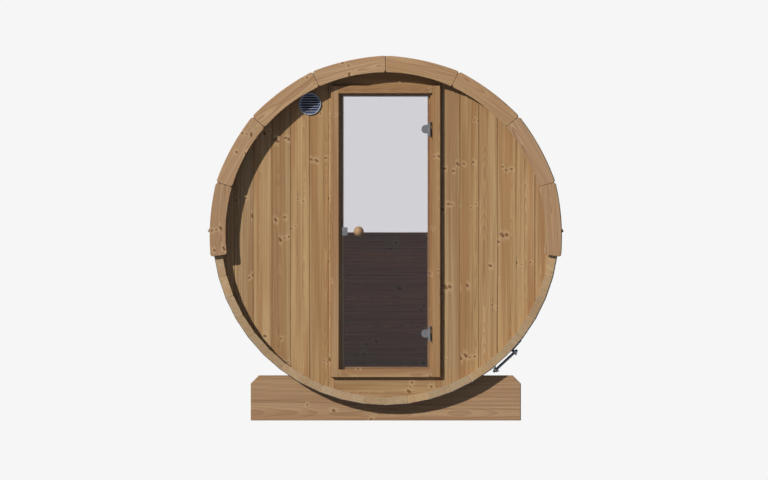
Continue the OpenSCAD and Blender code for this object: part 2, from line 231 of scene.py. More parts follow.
def cut_with(bm, cutter, operation="DIFFERENCE"):
    """bm less the cutter, or what the two share, by Blender's exact boolean."""
    objects = []
    for shape in (bm, cutter):
        mesh = bpy.data.meshes.new("cut")
        shape.to_mesh(mesh)
        obj = bpy.data.objects.new("cut", mesh)
        bpy.context.scene.collection.objects.link(obj)
        objects.append(obj)
    mod = objects[0].modifiers.new("cut", "BOOLEAN")
    mod.object, mod.operation, mod.solver = objects[1], operation, "EXACT"
    bpy.context.view_layer.update()
    done = objects[0].evaluated_get(bpy.context.evaluated_depsgraph_get()).to_mesh()
    out = bmesh.new()
    out.from_mesh(done)
    for obj in objects:
        bpy.data.objects.remove(obj)
    return out


class Piece:
    """Closed solids gathered into one mesh. Each keeps its own board frame for its grain."""

    def __init__(self):
        self.points, self.faces, self.slots, self.grain, self.board = [], [], [], [], []

    def add(
        self, bm, along=Z, across=X, origin=None, slot=0, end_slot=None, seed=None, tone=None, pick=None,
    ):
        """Takes in one solid. The grain runs along and is measured from origin. end_slot is the finish of
        end grain, seed sets the board's own pattern, tone is 0 dark to 1 light, and pick(normal) gives the
        finish of some faces, or None."""
        origin = middle_of(bm) if origin is None else origin
        through = along.cross(across)
        seed = rng.random(3) if seed is None else np.array(seed)
        if tone is not None:
            seed[2] = tone
        base = len(self.points)
        bm.verts.index_update()
        bm.normal_update()
        for v in bm.verts:
            self.points.append(tuple(v.co))
            d = v.co - origin
            self.grain.append((d.dot(along), d.dot(across), d.dot(through)))
            self.board.append(tuple(seed))
        for f in bm.faces:
            self.faces.append([base + v.index for v in f.verts])
            is_end = end_slot is not None and abs(f.normal.dot(along)) > 0.8
            picked = pick(f.normal) if pick else None
            self.slots.append((end_slot if is_end else slot) if picked is None else picked)
        bm.free()
        return self

    def make(self, name, body, materials, stands_for=(), smooth=None):
        """The object: on which body it rides, the record's material slot, and the CAD nodes it replaces.
        smooth is the angle in degrees up to which its shading is smooth."""
        mesh = bpy.data.meshes.new(name)
        mesh.from_pydata(self.points, [], self.faces)
        mesh.update()
        for key, values in (("grain", self.grain), ("board", self.board)):
            layer = mesh.attributes.new(key, "FLOAT_VECTOR", "POINT")
            layer.data.foreach_set("vector", np.array(values, np.float32).ravel())
        mesh.polygons.foreach_set("material_index", np.array(self.slots, np.int32))
        for m in materials if isinstance(materials, list) else [materials]:
            mesh.materials.append(m)
        if smooth is not None:
            mesh.shade_smooth()
            mesh.set_sharp_from_angle(angle=math.radians(smooth))
        obj = bpy.data.objects.new(name, mesh)
        bpy.context.scene.collection.objects.link(obj)
        if smooth is not None:
            mod = obj.modifiers.new("weighted", "WEIGHTED_NORMAL")
            mod.keep_sharp = True
        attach(obj, body)
        if stands_for:
            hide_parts(*stands_for)
        return obj


def eased_piece(
    node, name, body, materials, along, across, width, segments=1, angle=28,
    origin=None, end_slot=None, tone=None, smooth=None,
):
    """A CAD node's own solids with their edges eased, in its place."""
    piece = Piece()
    for solid in cad_solids(node):
        ease(tidy(solid), width, segments, angle=angle)
        piece.add(solid, along, across, origin, end_slot=end_slot, tone=tone)
    return piece.make(name, body, materials, [node], smooth)


# ---------------------------------------------------------------- materials
def linear(r, g, b):
    """A colour written as 0-255 screen values, in linear light."""
    out = []
    for c in (r, g, b):
        c /= 255
        out.append(c / 12.92 if c <= 0.04045 else ((c + 0.055) / 1.055) ** 2.4)
    return (*out, 1.0)


class Tree:
    """Short names for adding shader nodes to a node tree."""

    def __init__(self, tree):
        self.tree = tree

    def new(self, kind, props=None, sockets=None, out=0):
        n = self.tree.nodes.new(kind)
        for k, v in (props or {}).items():
            setattr(n, k, v)
        for k, v in (sockets or {}).items():
            self.put(n.inputs[k], v)
        return n.outputs[out]

    def put(self, socket, value):
        if isinstance(value, bpy.types.NodeSocket):
            self.tree.links.new(value, socket)
        else:
            socket.default_value = value

    def math(self, op, a, b=0.0, c=0.0, clamp=False):
        return self.new("ShaderNodeMath", {"operation": op, "use_clamp": clamp}, {0: a, 1: b, 2: c})

    def times(self, first, *others):
        for other in others:
            first = self.math("MULTIPLY", first, other)
        return first

    def plus(self, a, b, clamp=False):
        return self.math("ADD", a, b, clamp=clamp)

    def minus(self, a, b):
        return self.math("SUBTRACT", a, b)

    def times_plus(self, a, b, c, clamp=False):
        """a times b, plus c."""
        return self.math("MULTIPLY_ADD", a, b, c, clamp)

    def length(self, a, b):
        return self.math("SQRT", self.plus(self.times(a, a), self.times(b, b)))

    def vec(self, x, y, z=0.0):
        return self.new("ShaderNodeCombineXYZ", None, {0: x, 1: y, 2: z})

    def split(self, v):
        n = self.tree.nodes.new("ShaderNodeSeparateXYZ")
        self.put(n.inputs[0], v)
        return n.outputs[0], n.outputs[1], n.outputs[2]

    def attribute(self, name):
        return self.new("ShaderNodeAttribute", {"attribute_name": name}, out="Vector")

    def noise(self, vector, scale=1.0, detail=2.0, rough=0.5):
        return self.new(
            "ShaderNodeTexNoise", {"noise_dimensions": "3D"},
            {"Vector": vector, "Scale": scale, "Detail": detail, "Roughness": rough}, "Fac",
        )

    def cells(self, at, randomness, scale=1.0, dimensions="1D", key="W", out="W"):
        """Voronoi cells: by default the place of the nearest cell on a line."""
        return self.new(
            "ShaderNodeTexVoronoi", {"voronoi_dimensions": dimensions},
            {key: at, "Scale": scale, "Randomness": randomness}, out,
        )

    def mix(self, fac, a, b, blend="MIX"):
        n = self.tree.nodes.new("ShaderNodeMix")
        n.data_type, n.blend_type = "RGBA", blend
        self.put(n.inputs[0], fac)
        self.put(n.inputs[6], a)
        self.put(n.inputs[7], b)
        return n.outputs[2]

    def step(self, value, start, end, top=1.0):
        """0 at start, rising smoothly to top at end."""
        return self.new(
            "ShaderNodeMapRange", {"interpolation_type": "SMOOTHSTEP"},
            {"Value": value, "From Min": start, "From Max": end, "To Min": 0.0, "To Max": top},
        )

    def fall(self, value, start, end):
        """1 at start, falling smoothly to 0 at end."""
        return self.new(
            "ShaderNodeMapRange", {"interpolation_type": "SMOOTHSTEP"},
            {"Value": value, "From Min": start, "From Max": end, "To Min": 1.0, "To Max": 0.0},
        )

    def bump(self, height, strength, distance):
        sockets = {"Height": height, "Strength": strength, "Distance": distance}
        return self.new("ShaderNodeBump", None, sockets)


class Nodes(Tree):
    """The node tree of a new material."""

    def __init__(self, name):
        self.material = bpy.data.materials.new(name)
        self.material.use_nodes = True
        super().__init__(self.material.node_tree)
        self.shader = self.tree.nodes["Principled BSDF"]
        self.output = self.tree.nodes["Material Output"]

    def surface(self, colour=None, rough=None, normal=None, **numbers):
        """Fills in the material's own shader. The numbers are named as its sockets, with _ for spaces."""
        for key, value in (("Base Color", colour), ("Roughness", rough), ("Normal", normal)):
            if value is not None:
                self.put(self.shader.inputs[key], value)
        for key, value in numbers.items():
            self.shader.inputs[key.replace("_", " ")].default_value = value
        return self.material


KNOT_SPACING = 27 * MM  # between the knots across a board
WHORL_SPREAD = 46 * MM  # how far along the board the knots of one whorl spread
KNOT_LEAST, KNOT_RANGE = 3.6 * MM, 8.0 * MM  # a knot's radius, and how much more it can be
NO_KNOT = 0.2 * MM  # stands in for the radius where there is no knot
SEED_ALONG, SEED_ACROSS = 61.0, 173.0  # spread the seeds, which are 0 to 1, over the patterns
CRACK_WANDER, CRACK_HALF, CRACK_FADE = 3 * MM, 0.4 * MM, 1.5 * MM
CRACK_LEN, CRACK_END = 12 * MM, 55 * MM  # full to the first distance from the knot, gone at the second
HALO, CORE_DARK, CORE_LIGHT = linear(190, 158, 114), linear(104, 66, 42), linear(146, 101, 66)
KNOT_RIM, CRACK = linear(88, 58, 38), linear(70, 45, 30)


def wood(
    name, light, dark, warm, ring_gap=4.2 * MM, rings=0.5, streaks=0.5, patches=0.6, tone=0.09,
    knots=0.55, knot_size=1.0, whorl=0.34, rough=0.62, bump=0.35,
):
    """Sawn softwood: growth rings round a pith line, fibres, knots in whorls, and a tone for each board.
    light, dark and warm are screen colours, knots the share of places that have one, whorl in metres."""
    light, dark, warm = linear(*light), linear(*dark), linear(*warm)
    n = Nodes(name)
    u, v, w = n.split(n.attribute("grain"))
    s1, s2, s3 = n.split(n.attribute("board"))
    shift = n.times(s1, SEED_ALONG)

    # knots: whorls along the board, and a row of knots across it at each whorl
    along = n.cells(n.times_plus(u, 1 / whorl, shift), 0.85)
    whorl_u = n.times(n.minus(along, shift), whorl)
    whorl_r, whorl_g, whorl_b = n.split(along.node.outputs["Color"])
    row = n.times(whorl_r, SEED_ACROSS)
    across = n.cells(n.times_plus(v, 1 / KNOT_SPACING, row), 0.9)
    knot_v = n.times(n.minus(across, row), KNOT_SPACING)
    k_r, k_g, k_b = n.split(across.node.outputs["Color"])
    knot_u = n.times_plus(n.minus(k_g, 0.5), WHORL_SPREAD, whorl_u)
    dv = n.minus(v, knot_v)
    du = n.times_plus(dv, n.times(n.minus(k_b, 0.5), 1.5), n.minus(u, knot_u))
    dv_round = n.times(dv, n.times_plus(k_r, -1.5, 1.15))
    ragged = n.noise(n.vec(n.times(u, 210.0), n.times(v, 210.0), shift), 1.0, 2.0)
    dist = n.times(n.length(du, dv_round), n.times_plus(ragged, 0.9, 0.55))
    present = n.times(n.math("LESS_THAN", k_r, knots), n.math("LESS_THAN", whorl_g, 0.8))
    size = n.times_plus(n.times(k_b, whorl_b), KNOT_RANGE * knot_size, KNOT_LEAST * knot_size)
    radius = n.times(size, present)
    reach = n.math("DIVIDE", dist, n.math("MAXIMUM", radius, NO_KNOT))
    core = n.times(n.fall(reach, 0.75, 1.05), present)
    rim = n.times(n.step(reach, 0.45, 0.9), n.fall(reach, 0.95, 1.35), present)
    halo = n.times(n.step(reach, 0.9, 1.4), n.fall(reach, 1.8, 5.0), present)
    bend = n.times(n.fall(reach, 0.5, 4.5), radius, 1.6)
    off_line = n.math("ABSOLUTE", n.times_plus(n.minus(ragged, 0.5), CRACK_WANDER, dv))
    off_knot = n.math("ABSOLUTE", n.minus(u, knot_u))
    crack = n.times(n.fall(off_line, CRACK_HALF, CRACK_FADE), n.fall(off_knot, CRACK_LEN, CRACK_END))
    crack = n.times(crack, present, n.math("GREATER_THAN", k_b, 0.8))

    # growth rings round the pith, which wanders along the board
    slow = n.noise(n.vec(n.times_plus(u, 1.7, shift), n.times(v, 5.0), s2), 1.0, 1.0)
    slow2 = n.noise(n.vec(n.times_plus(u, 2.3, shift), n.times(s3, 33.0), w), 1.0, 1.0)
    pith_v = n.times_plus(slow, 34 * MM, n.times_plus(s1, -90 * MM, 28 * MM))
    depth = n.times_plus(s2, 62 * MM, 12 * MM)
    taper = n.times(n.minus(s3, 0.5), 0.07, u)
    pith_w = n.times_plus(slow2, 40 * MM, n.plus(taper, -20 * MM))
    rho = n.length(n.plus(v, pith_v), n.plus(n.plus(w, depth), pith_w))
    rho = n.plus(rho, bend)
    uneven = n.noise(n.vec(n.times(rho, 60.0), s3, shift), 1.0, 1.0)
    phase = n.math("FRACT", n.times_plus(rho, 1 / ring_gap, n.times(uneven, 2.2)))
    late = n.times(n.math("POWER", phase, 2.2), n.fall(phase, 0.93, 1.0))

    # fibres: fine streaks, and broad bands of heart and sap
    fibre_at = n.vec(n.times_plus(u, 5.0, shift), n.times(v, 420.0), n.times(w, 420.0))
    streak_at = n.vec(n.times_plus(u, 1.1, shift), n.times(v, 85.0), n.times(w, 60.0))
    band_at = n.vec(n.times_plus(u, 0.7, shift), n.times(v, 17.0), n.times(s2, 40.0))
    fibre, streak = n.noise(fibre_at, 1.0, 3.0, 0.6), n.noise(streak_at, 1.0, 3.0, 0.62)
    band = n.noise(band_at, 1.0, 2.0, 0.5)
    darkness = n.times(late, rings)
    darkness = n.times_plus(n.step(streak, 0.36, 0.72), streaks, darkness)
    darkness = n.times_plus(n.minus(fibre, 0.5), 0.5, darkness, clamp=True)
    colour = n.mix(darkness, light, dark)
    colour = n.mix(n.times(n.step(band, 0.41, 0.6), patches), colour, n.mix(darkness, warm, dark))

    # the board's own tone, then the knots
    level = n.times_plus(n.minus(s3, 0.5), 2 * tone, 1.0)
    hue = n.minus(s1, 0.5)
    red, blue = (n.times(level, n.times_plus(hue, k, 1.0)) for k in (0.05, -0.12))
    colour = n.mix(1.0, colour, n.vec(red, level, blue), "MULTIPLY")
    colour = n.mix(n.times(halo, 0.45), colour, HALO)
    colour = n.mix(n.times(core, 0.9), colour, n.mix(ragged, CORE_DARK, CORE_LIGHT))
    colour = n.mix(n.times(rim, 0.7), colour, KNOT_RIM)
    colour = n.mix(n.times(crack, 0.85), colour, CRACK)
    height = n.times_plus(late, -0.5, n.times(fibre, 0.8))
    height = n.times_plus(rim, -0.8, height)
    roughness = n.times_plus(fibre, 0.14, rough - 0.07)
    return n.surface(colour, roughness, n.bump(height, bump, 0.5 * MM), Specular_IOR_Level=0.22)


def metal(
    name, colour, dark, rough=0.38, metallic=1.0, scratch=260.0, axis=0, bump=0.1, level=0.5, blotch=18.0,
):
    """Steel or painted metal: brushed along one axis, with cloudy tarnish and rubbed roughness."""
    n = Nodes(name)
    coords = n.split(n.new("ShaderNodeTexCoord", out="Object"))
    stretched = [n.times(c, 6.0 if i == axis else scratch * 4) for i, c in enumerate(coords)]
    brushed = n.noise(n.vec(*stretched), 1.0, 2.0)
    cloud = n.noise(n.vec(*coords), blotch, 3.0, 0.6)
    speck = n.noise(n.vec(*coords), 900.0, 1.0)
    fac = n.times_plus(brushed, 0.35, n.step(cloud, 0.35, 0.7, 0.55))
    shade = n.mix(fac, linear(*colour), linear(*dark))
    r = n.times_plus(cloud, 0.22, n.times_plus(brushed, 0.12, rough - 0.17))
    normal = n.bump(n.plus(brushed, speck), bump, 0.15 * MM)
    return n.surface(shade, r, normal, Metallic=metallic, Specular_IOR_Level=level)


def shingle():
    """Bitumen shingles: mineral granules of mixed greys and browns, and a tone for each tab."""
    n = Nodes("shingle_granules")
    u, v, w = n.split(n.attribute("grain"))
    s1, s2, s3 = n.split(n.attribute("board"))
    at = n.vec(n.times_plus(s1, 3.0, u), v, w)
    g_r, g_g, g_b = n.split(n.cells(at, 1.0, 620.0, "3D", "Vector", "Color"))
    cloud = n.noise(at, 9.0, 3.0, 0.6)
    colour = n.mix(g_r, linear(46, 43, 41), linear(98, 90, 82))
    colour = n.mix(n.math("GREATER_THAN", g_g, 0.86), colour, linear(140, 128, 114))
    colour = n.mix(n.step(cloud, 0.35, 0.7, 0.5), colour, linear(52, 48, 46))
    level = n.times_plus(s3, 0.42, 0.79)
    colour = n.mix(1.0, colour, n.vec(level, level, level), "MULTIPLY")
    rough = n.times_plus(g_b, 0.14, 0.8)
    return n.surface(colour, rough, n.bump(g_b, 0.6, 0.6 * MM), Specular_IOR_Level=0.25)


GLASS_IOR = 1.33  # less than real glass, whose mirror image of the bare stage would hide the inside


def glass(name, tint, passed):
    """Clear sheet glass with faint smears. Lamps pass through it, dimmed by the colour passed."""
    n = Nodes(name)
    coords = n.new("ShaderNodeTexCoord", out="Object")
    smear = n.noise(coords, 7.0, 3.0, 0.6)
    rough = n.times_plus(n.step(smear, 0.5, 0.8), 0.02, 0.0)
    n.surface(tint, rough, None, Transmission_Weight=1.0, IOR=GLASS_IOR)
    clear = n.new("ShaderNodeBsdfTransparent", None, {"Color": passed})
    path = n.tree.nodes.new("ShaderNodeLightPath")
    straight = n.math("MAXIMUM", path.outputs["Is Shadow Ray"], path.outputs["Is Diffuse Ray"])
    both = n.new("ShaderNodeMixShader", None, {0: straight, 1: n.shader.outputs[0], 2: clear})
    n.put(n.output.inputs["Surface"], both)
    return n.material


wall_wood = wood(
    "wall_boards", (180, 147, 102), (137, 99, 63), (160, 119, 76),
    knots=0.42, whorl=0.36, tone=0.095, patches=0.8, streaks=0.6,
)
inner_wood = wood(
    "wall_boards_inside", (206, 148, 122), (150, 96, 78), (186, 126, 102),
    knots=0.4, tone=0.16, patches=0.85, streaks=0.8,
)
stave_wood = wood("stave_boards", (172, 140, 102), (136, 101, 70), (163, 126, 86), knots=0.45, tone=0.12)
# painted shade: a darker wood for the staves' outer bevel faces, standing in for the shade inside the V
# grooves
groove_painted_shade_wood = wood(
    "stave_grooves_painted_shade", (118, 90, 62), (84, 60, 40), (104, 76, 50), knots=0.0, tone=0.12, rough=0.75,
)
stave_end = wood(
    "stave_end_grain", (180, 153, 116), (146, 117, 84), (174, 138, 98),
    ring_gap=3.4 * MM, rings=0.6, streaks=0.4, knots=0.0, tone=0.13, bump=0.2, rough=0.7,
)
fascia_wood = wood(
    "fascia_boards", (182, 147, 107), (141, 104, 72), (174, 134, 96),
    ring_gap=6.5 * MM, rings=0.75, streaks=0.45, knots=0.3, whorl=0.36,
)
frame_wood = wood(
    "frame_boards", (172, 136, 94), (131, 94, 61), (158, 115, 74),
    knots=0.42, knot_size=0.8, patches=0.8, streaks=0.6,
)
cradle_wood = wood(
    "cradle_beams", (169, 138, 104), (130, 97, 69), (158, 123, 90),
    ring_gap=7.0 * MM, rings=0.55, streaks=0.6, knots=0.16, knot_size=1.35, whorl=0.3,
)
floor_wood = wood("floor_boards", (176, 146, 108), (142, 108, 76), (170, 136, 94), knots=0.4)
knob_wood = wood(
    "knob_turned", (174, 141, 105), (142, 103, 69), (164, 126, 88),
    ring_gap=3.0 * MM, knots=0.0, streaks=0.3, rough=0.45, bump=0.15,
)
drip_wood = wood("drip_edges", (150, 126, 100), (108, 86, 66), (140, 112, 86), knots=0.0, rough=0.7)
strap_steel = metal("strap_zinc", (96, 102, 112), (64, 70, 80), axis=2, rough=0.42, blotch=40.0)
rod_steel = metal("rod_dark_steel", (96, 104, 116), (60, 68, 80), axis=2, rough=0.45, blotch=60.0)
hinge_steel = metal("hinge_brushed", (121, 122, 125), (95, 97, 101), axis=2, rough=0.4)
vent_paint = metal("vent_paint", (148, 152, 160), (124, 129, 140), rough=0.56, metallic=0.3, scratch=60.0)
# partly painted shade: the blades and the tube get a dark blue paint; the blue-grey is the vent's own
# colour, the darkness below the rim and lips is painted shade between the louvres
vent_painted_shade = metal(
    "vent_blades_painted_shade", (74, 84, 116), (50, 58, 84), rough=0.5, metallic=0.2, scratch=60.0, level=0.35,
)
shingles = shingle()
clear_glass = glass("clear_glass", (0.829, 0.823, 0.846, 1), (0.86, 0.855, 0.86, 1))

# ---------------------------------------------------------------- barrel
GROUP = 6  # staves in each CAD group
STAVE_BEVEL, END_BEVEL = 4.2 * MM, 1.0 * MM
FASCIA_BOARDS = 8
DARK_TONE, PANEL_TONE = 0.2, 0.0


def stave_angle(j):
    """Direction of the joint before stave j, numbered anticlockwise from the lowest joint."""
    return -math.pi / 2 + j * STEP


for g in range(STAVES // GROUP):
    node = f"staves_{g + 1}"
    piece = Piece()
    joints = [(AXIS, around(stave_angle(g * GROUP + k))) for k in range(1, GROUP)]
    for k, stave in enumerate(cut_between(cad_solids(node)[0], joints)):
        middle = stave_angle(g * GROUP + k + 0.5)
        tidy(stave)
        ease(stave, STAVE_BEVEL, along=Y)
        ease(stave, END_BEVEL, across=Y, test=lambda e: abs(e.verts[0].co.y) > half_len - 0.1 * MM)
        out = radial(middle)
        piece.add(  # the outer bevels get a darker wood, painted shade in the grooves
            stave, Y, around(middle), AXIS + out * barrel_flat, end_slot=1,
            pick=lambda n: 2 if abs(n.y) < 0.1 and 0.5 < n.dot(out) < 0.9 else None,
        )
    finishes = [stave_wood, stave_end, groove_painted_shade_wood]
    piece.make(f"stave_boards_{g + 1}", "building", finishes, [node])


# ---------------------------------------------------------------- fascias, drips
def fascia_piece(name, node):
    """Arc boards whose grain runs round the barrel."""
    piece = Piece()
    for board in cad_solids(node):
        ease(tidy(board), 3.0 * MM, 3, angle=40)
        centre = middle_of(board)
        angle = math.atan2(centre.z - axis_z, centre.x)
        piece.add(board, around(angle), radial(angle), centre, end_slot=1)
    piece.make(name, "building", [fascia_wood, stave_end], [node], smooth=32)


for k in range(1, FASCIA_BOARDS + 1):
    fascia_piece(f"fascia_board_{k}", f"front_fascia_{k}")
for side in ("left", "right"):
    fascia_piece(f"fascia_boards_rear_{side}", f"rear_fascia_{side}")
    eased_piece(
        f"eave_drip_{side}", f"eave_strip_{side}", "building", drip_wood, Y, Z,
        width=1.2 * MM, segments=2, angle=30,
    )

# ---------------------------------------------------------------- roof shingles
ROOF_FLAT = (high("roof_right").z - axis_z) * CORNER
FACET = 2 * ROOF_FLAT * math.tan(STEP / 2)
SHINGLE_T, SHINGLE_LIFT = 3.0 * MM, 0.2 * MM
TAB, TAB_GAP, LEAST_TAB = 300 * MM, 5 * MM, 30 * MM
COURSES = STAVES // 4  # one to each flat of the covering, on either side
EAVE_START, LAP, RIDGE_STOP = 38 * MM, 7 * MM, 2 * MM
END_PLAY = 0.5 * MM  # between the covering's ends and the fascias


def shingle_tab(y0, y1, t0, t1, place, corner=9 * MM, rise=3.2 * MM):
    """A tab from y0 to y1 along and t0 to t1 up the slope, with two rounded corners. Its lower edge is
    raised, as it lies on the course below."""
    outline = [(y0, t1), (y1, t1)]
    for cy, start in ((y1 - corner, 0.0), (y0 + corner, -90.0)):
        for k in range(4):
            a = math.radians(start - 30 * k)
            outline.append((cy + corner * math.cos(a), t0 + corner + corner * math.sin(a)))
    bm = bmesh.new()
    layers = [
        [bm.verts.new(place(y, t, extra + rise * (t1 - t) / (t1 - t0))) for y, t in outline]
        for extra in (0.0, SHINGLE_T)
    ]
    return ease(skin(bm, layers), 0.7 * MM, angle=50)


for side, sign in (("left", -1), ("right", 1)):
    roof = Piece()
    for solid in cad_solids(f"roof_{side}"):
        roof.add(tidy(solid), Y, Z)
    for c in range(COURSES):
        theta = (c + 0.5) * STEP
        normal, up = radial(theta), around(theta)
        normal.x, up.x = sign * normal.x, sign * up.x
        foot = AXIS + normal * (ROOF_FLAT + SHINGLE_LIFT) - up * FACET / 2

        def place(y, t, r):
            return foot + up * t + normal * r + Y * y

        start = EAVE_START if c == 0 else -LAP
        stop = FACET - (RIDGE_STOP if c == COURSES - 1 else 0)
        y = -half_len - (TAB / 2 if c % 2 else 0.0)
        while y < half_len - 1 * MM:
            y0 = max(y + TAB_GAP / 2, -half_len + END_PLAY)
            y1 = min(y + TAB - TAB_GAP / 2, half_len - END_PLAY)
            y += TAB
            if y1 - y0 > LEAST_TAB:
                tab = shingle_tab(y0, y1, start + rng.uniform(-1, 1) * MM, stop, place)
                roof.add(tab, Y, up)
    roof.make(f"shingles_{side}", "building", shingles, [f"roof_{side}"])

caps = Piece()
CAP_STEP, CAP_LAP, CAP_HALF = 200 * MM, 24 * MM, 105 * MM
CAP_T, CAP_RISE = 2.6 * MM, 2.8 * MM
ridge = AXIS + Z * ((ROOF_FLAT + SHINGLE_T + 1.2 * MM) / CORNER)
for k in range(round(2 * half_len / CAP_STEP)):
    for sign in (-1, 1):
        normal, up = radial(math.pi / 2 - STEP / 2), around(math.pi / 2 - STEP / 2)
        normal.x, up.x = sign * normal.x, sign * up.x
        start = -half_len + k * CAP_STEP + END_PLAY
        end = min(start + CAP_STEP + CAP_LAP, half_len - END_PLAY)
        bm = bmesh.new()
        layers = []
        for extra in (0.0, CAP_T):
            row = []
            for y, d in ((start, 0), (start, CAP_HALF), (end, CAP_HALF), (end, 0)):
                lift = extra + CAP_RISE * (end - y) / (end - start)
                row.append(bm.verts.new(ridge - up * d + normal * lift + Y * y))
            for v in (row[0], row[3]):  # both halves meet on the ridge line
                v.co.x = 0.0
            layers.append(row)
        seed = (0.31 * k % 1, 0.5, 0.47 * k % 1)
        caps.add(skin(bm, layers), Y, X, ridge, seed=seed)
caps.make("ridge_caps", "building", shingles)

# ---------------------------------------------------------------- walls
HALF_GAP, CHAMFER = 0.4 * MM, 2.2 * MM
TONGUE_FROM, TONGUE_TO, TONGUE_REACH, TONGUE_PLAY = 15 * MM, 27 * MM, 8 * MM, 0.5 * MM
BOARD, REAR_BOARD, REAR_TOP_BOARD = 109.3 * MM, 108.3 * MM, 100 * MM
SEAM_FROM_FRAME = 14 * MM
LEAST_BOARD = 8 * MM
PAST_RIM = 1 * MM  # boards start this far outside the rim that they are trimmed to
VENT_OVER_HOLE = 15.5 * MM


def board_outline(a0, a1, front, back, groove=True, tongue=True, slot=None):
    """Tongue and groove section, as (a, y) pairs, of a board that covers a0 to a1. slot is (y, y, depth),
    cut in its a1 edge."""
    g, c = HALF_GAP, CHAMFER
    lo, hi = (a0 + g if groove else a0), (a1 - g if tongue else a1)
    out = [(lo + c, front), (hi - c, front), (hi, front + c)]
    if tongue:
        y0, y1 = front + TONGUE_FROM + TONGUE_PLAY, front + TONGUE_TO - TONGUE_PLAY
        out += [(hi, y0), (a1 + TONGUE_REACH, y0), (a1 + TONGUE_REACH, y1), (hi, y1)]
    if slot:
        y0, y1, depth = slot
        out += [(hi, y0), (hi - depth, y0), (hi - depth, y1), (hi, y1)]
    out += [(hi, back - c), (hi - c, back), (lo + c, back), (lo, back - c)]
    if groove:
        y0, y1 = front + TONGUE_FROM, front + TONGUE_TO
        deep = a0 + TONGUE_REACH + 1 * MM
        out += [(lo, y1), (deep, y1), (deep, y0), (lo, y0)]
    return out + [(lo, front + c)]


def trim_to_rim(bm):
    """Cuts a board to the bottom of the staves' groove."""
    for j in range(STAVES):
        n = radial(stave_angle(j + 0.5))
        trim(bm, AXIS + n * rim_flat, n, False)
    return bm


cut_x = high("front_wall_over_door").x
frame_x = high("frame_jamb_right").x
vent_low, vent_high = low("wall_vent"), high("wall_vent")
vent_centre = (vent_low + vent_high) / 2
vent_r = (vent_high.x - vent_low.x) / 2
vent_hole_r = vent_r - VENT_OVER_HOLE
rim_corner = rim_flat / CORNER
first_seam = -(frame_x + SEAM_FROM_FRAME)


def wall_side(name, node, x_from, x_to):
    """Upright boards from x_from to x_to. The board beside the frame on the left is a dark one."""
    piece = Piece()
    k = math.ceil((x_from - first_seam) / BOARD - 1e-6)
    edges = [x_from]
    while first_seam + k * BOARD < x_to - LEAST_BOARD:
        if first_seam + k * BOARD > x_from + LEAST_BOARD:
            edges.append(first_seam + k * BOARD)
        k += 1
    edges.append(x_to)
    for i in range(len(edges) - 1):
        a0, a1 = edges[i], edges[i + 1]
        outline = board_outline(a0, a1, wall_front, wall_back, groove=i > 0, tongue=i < len(edges) - 2)
        board = prism(outline, Z, axis_z - 1.0, axis_z + 1.0, lambda a, b: Vector((a, b, 0)))
        trim_to_rim(board)
        if abs((a0 + a1) / 2 - vent_centre.x) < vent_hole_r + BOARD / 2:
            hole = prism(
                circle(vent_hole_r, 64), Y, wall_front - 10 * MM, wall_back + 10 * MM,
                lambda a, b: Vector((vent_centre.x + a, 0, vent_centre.z + b)),
            )
            board = cut_with(board, hole)
        middle = (a0 + a1) / 2
        beside_frame = -frame_x - 1.2 * BOARD < middle < -frame_x
        tone = DARK_TONE if beside_frame else None
        piece.add(board, Z, X, Vector((middle, wall_front, axis_z)), tone=tone)
    piece.make(name, "building", wall_wood, [node])


wall_side("wall_boards_left", "front_wall_left", -rim_corner - PAST_RIM, -cut_x)
wall_side("wall_boards_right", "front_wall_right", cut_x, rim_corner + PAST_RIM)
for where in ("over", "under"):
    panel = Piece()
    for solid in cad_solids(f"front_wall_{where}_door"):
        centre = middle_of(solid)
        ease(tidy(solid), 1.5 * MM, along=Z, test=lambda e: e.verts[0].co.y < wall_front + 1 * MM)
        panel.add(solid, X, Z, Vector((0, wall_front, centre.z)), tone=PANEL_TONE)
    panel.make(f"wall_panel_{where}_door", "building", wall_wood, [f"front_wall_{where}_door"])

rear_in, rear_out = low("rear_wall").y, high("rear_wall").y
window_low, window_high = low("rear_window"), high("rear_window")
rear_top = high("rear_wall").z
rear = Piece()
rear_foot = axis_z - rim_corner
seams = [rear_top - REAR_TOP_BOARD - REAR_BOARD * k for k in range(9)]
edges = [rear_foot - PAST_RIM] + [z for z in seams if z > rear_foot + LEAST_BOARD][::-1] + [rear_top]
for i in range(len(edges) - 1):
    z0, z1, last = edges[i], edges[i + 1], i == len(edges) - 2
    notch = (window_low.y, window_high.y, rear_top - window_low.z) if last else None
    outline = board_outline(z0, z1, rear_in, rear_out, groove=i > 0, tongue=not last, slot=notch)
    board = prism(outline, X, -1.0, 1.0, lambda a, b: Vector((0, b, a)))
    rear.add(
        trim_to_rim(board), X, Z, Vector((0, rear_in, (z0 + z1) / 2)),
        pick=lambda n: 1 if n.y < -0.5 else None,
    )
rear.make("rear_wall_boards", "building", [wall_wood, inner_wood], ["rear_wall"])

# ---------------------------------------------------------------- door frame
for node, along, across in (
    ("frame_jamb_left", Z, X), ("frame_jamb_right", Z, X), ("frame_head", X, Z), ("frame_sill", X, Z),
):
    eased_piece(
        node, f"door_{node}", "building", frame_wood, along, across,
        width=1.8 * MM, segments=2, angle=40, tone=DARK_TONE if node == "frame_jamb_right" else None,
    )

# ---------------------------------------------------------------- cradles, floor
for end in ("front", "rear"):
    node = f"{end}_cradle"
    eased_piece(
        node, f"cradle_beam_{end}", "building", [cradle_wood, stave_end], X, Z,
        width=2.5 * MM, segments=2, angle=30, origin=Vector((0, low(node).y, 0)), end_slot=1,
    )

